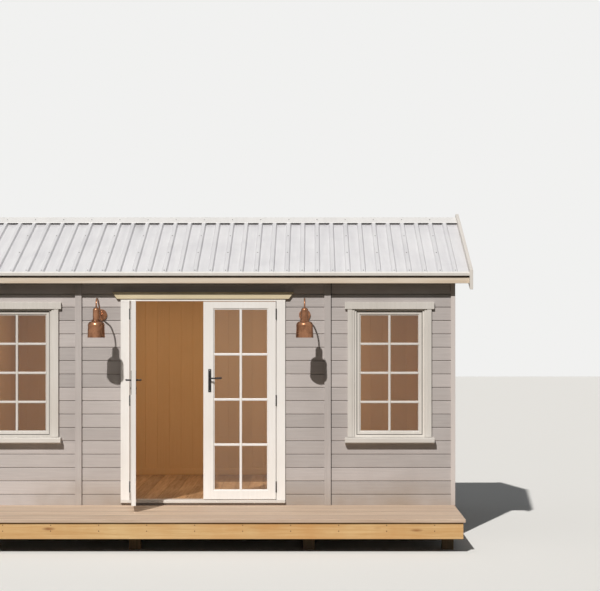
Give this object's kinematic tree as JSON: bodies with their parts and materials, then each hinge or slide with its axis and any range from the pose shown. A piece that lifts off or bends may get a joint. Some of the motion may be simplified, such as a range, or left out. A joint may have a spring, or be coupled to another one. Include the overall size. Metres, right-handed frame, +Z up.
{
  "type": "granny flat",
  "caption": "Hollow timber granny flat with a gable roof of ribbed steel, hinged double glazed doors, side windows, wall lamps and a front deck on stumps.",
  "frame": {"origin": "on the ground, in the middle of the plan of house and deck", "axes": "+X along the front to the right as seen from the deck, +Y from the deck to the back, +Z up"},
  "size_m": [5.42, 5.195, 3.3595],
  "materials": {
    "wall_paint": "satin paint on horizontal boards",
    "trim_paint": "satin white paint",
    "roof_steel": "satin coated steel",
    "glass": "clear",
    "black_hardware": "satin black",
    "copper_lamp": "aged copper",
    "frame_timber": "sawn treated pine",
    "pine_fascia": "oiled pine",
    "deck_timber": "weathered boards",
    "floor_timber": "satin boards",
    "lining_timber": "varnished boards"
  },
  "bodies": {
    "house": {"back_wall": "wall_paint", "barge_boards_back": "trim_paint", "barge_boards_front": "trim_paint", "bearers": "frame_timber", "corner_boards": "wall_paint", "cover_strips": "wall_paint", "deck_boards": "deck_timber", "deck_fascia_front": "pine_fascia", "deck_fascia_sides": "pine_fascia", "deck_joists": "frame_timber", "door_head": "trim_paint", "door_jamb_left": "trim_paint", "door_jamb_right": "trim_paint", "door_lintel": "trim_paint", "door_sill": "trim_paint", "eave_fascias": "trim_paint", "eave_trims": "roof_steel", "floor_boards": "floor_timber", "floor_joists": "frame_timber", "front_wall_below_door": "wall_paint", "front_wall_left": "wall_paint", "front_wall_over_door": "wall_paint", "front_wall_right": "wall_paint", "gable_wall_left": "wall_paint", "gable_wall_right": "wall_paint", "jamb_hinges": "black_hardware", "lamp_arm_left": "copper_lamp", "lamp_arm_right": "copper_lamp", "lamp_shade_left": "copper_lamp", "lamp_shade_right": "copper_lamp", "purlins": "lining_timber", "ridge_beam": "lining_timber", "ridge_cap": "roof_steel", "roof_battens": "frame_timber", "roof_boards_back": "lining_timber", "roof_boards_front": "lining_timber", "roof_sheet_back": "roof_steel", "roof_sheet_front": "roof_steel", "stumps": "frame_timber", "window_casing_left": "trim_paint", "window_casing_right": "trim_paint", "window_frame_left": "trim_paint", "window_frame_right": "trim_paint", "window_glass": "glass", "window_sash_left": "trim_paint", "window_sash_right": "trim_paint", "window_sills": "trim_paint"},
    "door_left": {"door_glass_left": "glass", "door_leaf_left": "trim_paint", "leaf_hinges_left": "black_hardware", "lever_plates_left": "black_hardware"},
    "lever_left": {"lever_left": "black_hardware"},
    "door_right": {"door_glass_right": "glass", "door_leaf_right": "trim_paint", "leaf_hinges_right": "black_hardware", "lever_plates_right": "black_hardware"},
    "lever_right": {"lever_right": "black_hardware"}
  },
  "joints": [
    {"name": "door_left_hinge", "type": "hinge", "parent": "house", "child": "door_left", "pos_m": [-0.738, -1.1665, 1.3785], "axis": [0, 0, 1], "range_deg": [-26, 84]},
    {"name": "lever_left_turn", "type": "hinge", "parent": "door_left", "child": "lever_left", "pos_m": [-0.66797, -1.83283, 1.603], "axis": [-0.9945, -0.1045, 0], "range_deg": [0, 40], "stiffness_Nm_per_rad": 1.5, "springref_deg": -22.92},
    {"name": "door_right_hinge", "type": "hinge", "parent": "house", "child": "door_right", "pos_m": [0.738, -1.1665, 1.3785], "axis": [0, 0, 1], "range_deg": [0, 110]},
    {"name": "lever_right_turn", "type": "hinge", "parent": "door_right", "child": "lever_right", "pos_m": [0.068, -1.1665, 1.603], "axis": [0, 1, 0], "range_deg": [0, 40], "stiffness_Nm_per_rad": 1.5, "springref_deg": -22.92}
  ]
}
